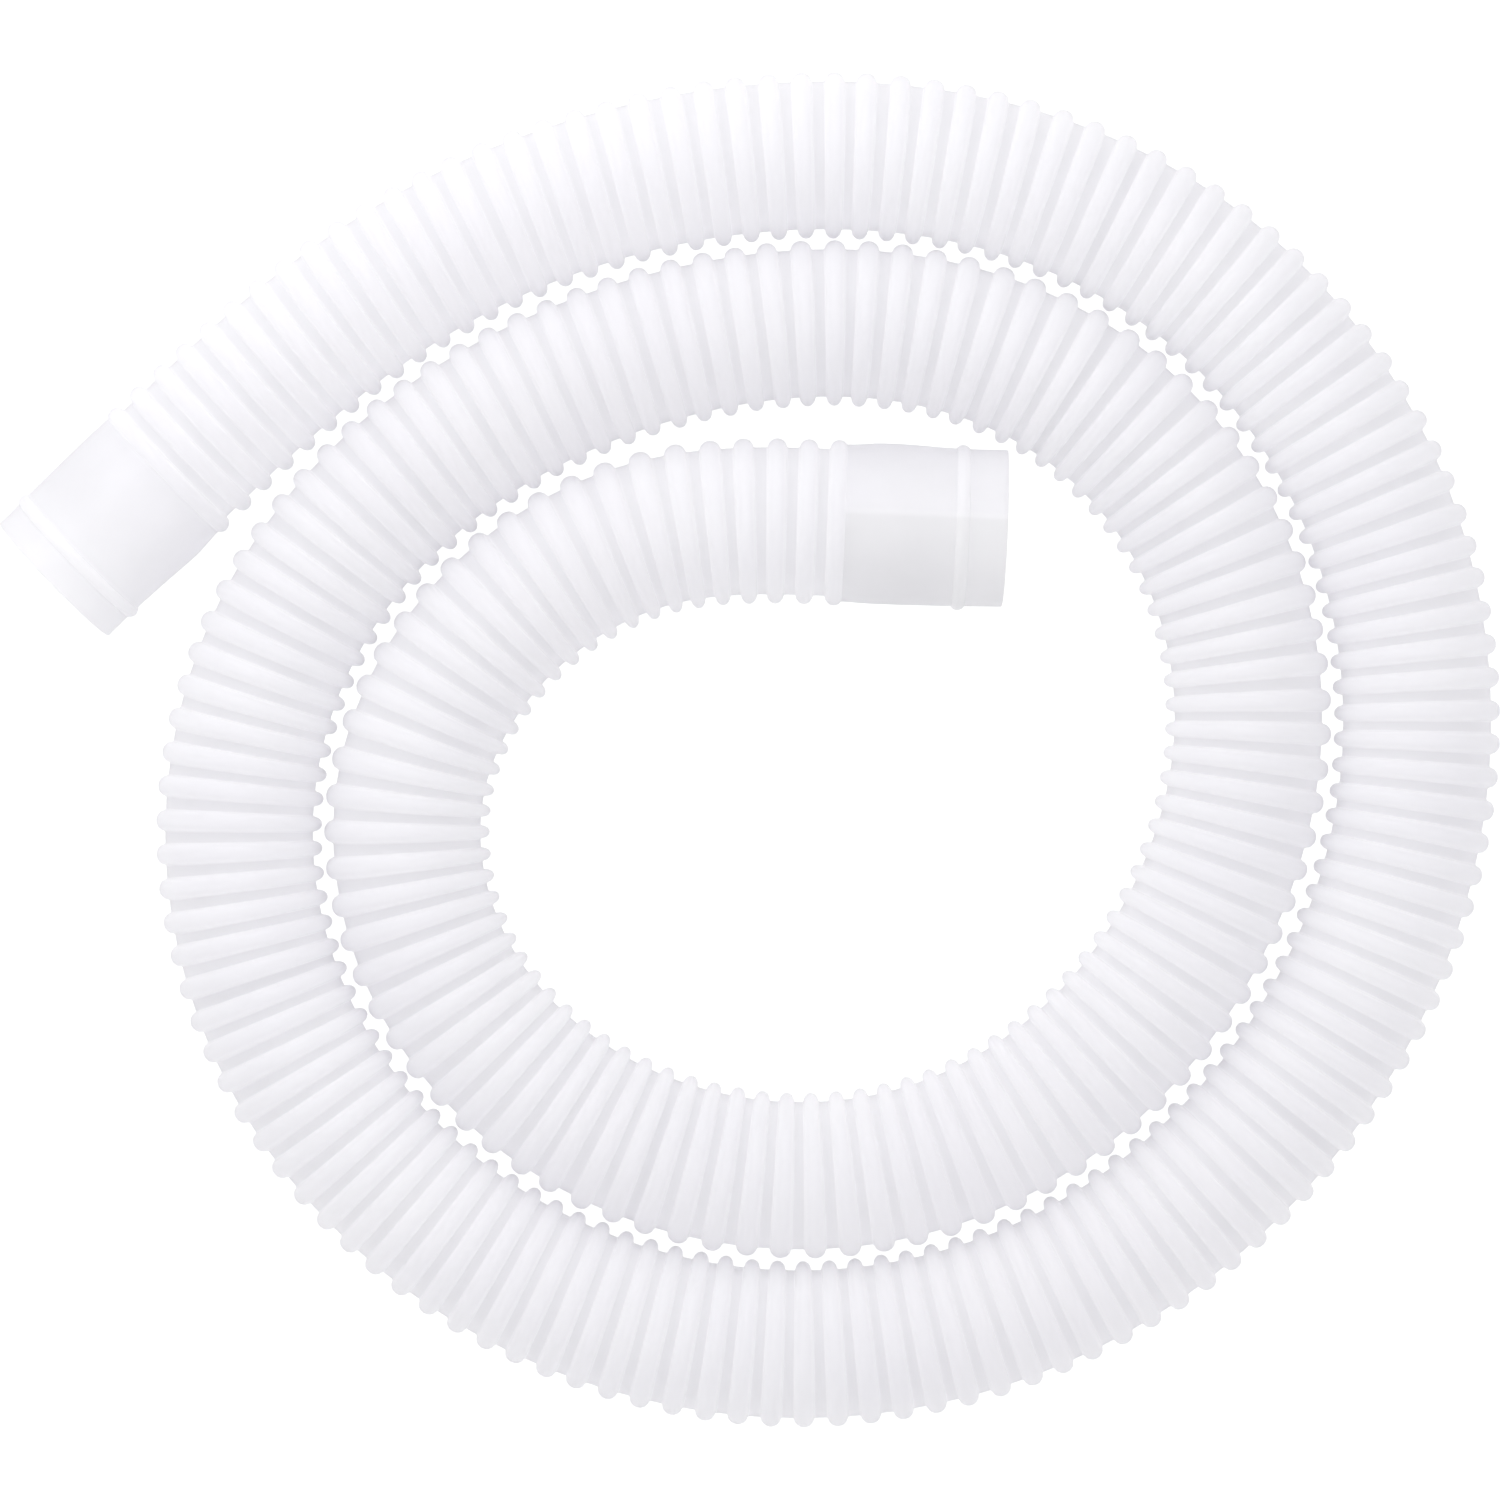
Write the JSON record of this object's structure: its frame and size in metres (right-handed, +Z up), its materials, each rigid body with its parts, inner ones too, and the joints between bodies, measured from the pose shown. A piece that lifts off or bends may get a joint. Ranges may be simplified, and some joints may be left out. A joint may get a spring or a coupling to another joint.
{
  "type": "pool vacuum hose",
  "caption": "Corrugated flexible plastic hose lying in a loose flat coil, with a plain soft cuff moulded at each end; its ends bend away from the coil.",
  "frame": {"origin": "on the floor under the middle of the flat coil's outline", "axes": "+Z up from the floor, +X and +Y over the floor; the inner cuff's mouth faces +X and the outer cuff lies at -X"},
  "size_m": [0.3122, 0.2819, 0.0345],
  "materials": {
    "hose": "milky translucent soft plastic, satin",
    "cuff": "milky translucent soft plastic, satin"
  },
  "bodies": {
    "coil": {"outer_swing_bend": "hose", "coil_hose_1": "hose", "coil_hose_2": "hose", "coil_hose_3": "hose", "coil_hose_4": "hose", "coil_hose_5": "hose", "coil_hose_6": "hose", "coil_hose_7": "hose", "coil_hose_8": "hose", "inner_lift_bend": "hose"},
    "outer_turn": {"outer_lift_bend": "hose", "outer_turn_hose_1": "hose", "outer_turn_hose_2": "hose"},
    "outer_end": {"outer_cuff": "cuff", "outer_end_hose": "hose"},
    "inner_end": {"inner_cuff": "cuff", "inner_end_hose": "hose"}
  },
  "joints": [
    {"name": "outer_turn_swing", "type": "hinge", "parent": "coil", "child": "outer_turn", "pos_m": [0.13426, 0.03906, 0.01725], "axis": [0, 0, -1], "range_deg": [0, 30], "stiffness_Nm_per_rad": 0.2, "deforming": ["outer_swing_bend"]},
    {"name": "outer_end_lift", "type": "hinge", "parent": "outer_turn", "child": "outer_end", "pos_m": [-0.04212, 0.11335, 0.01725], "axis": [-0.3443, 0.9389, 0], "range_deg": [0, 40], "stiffness_Nm_per_rad": 0.2, "deforming": ["outer_lift_bend"]},
    {"name": "inner_end_lift", "type": "hinge", "parent": "coil", "child": "inner_end", "pos_m": [-0.0522, 0.0265, 0.01725], "axis": [0.7054, -0.7088, 0], "range_deg": [0, 40], "stiffness_Nm_per_rad": 0.2, "deforming": ["inner_lift_bend"]}
  ]
}
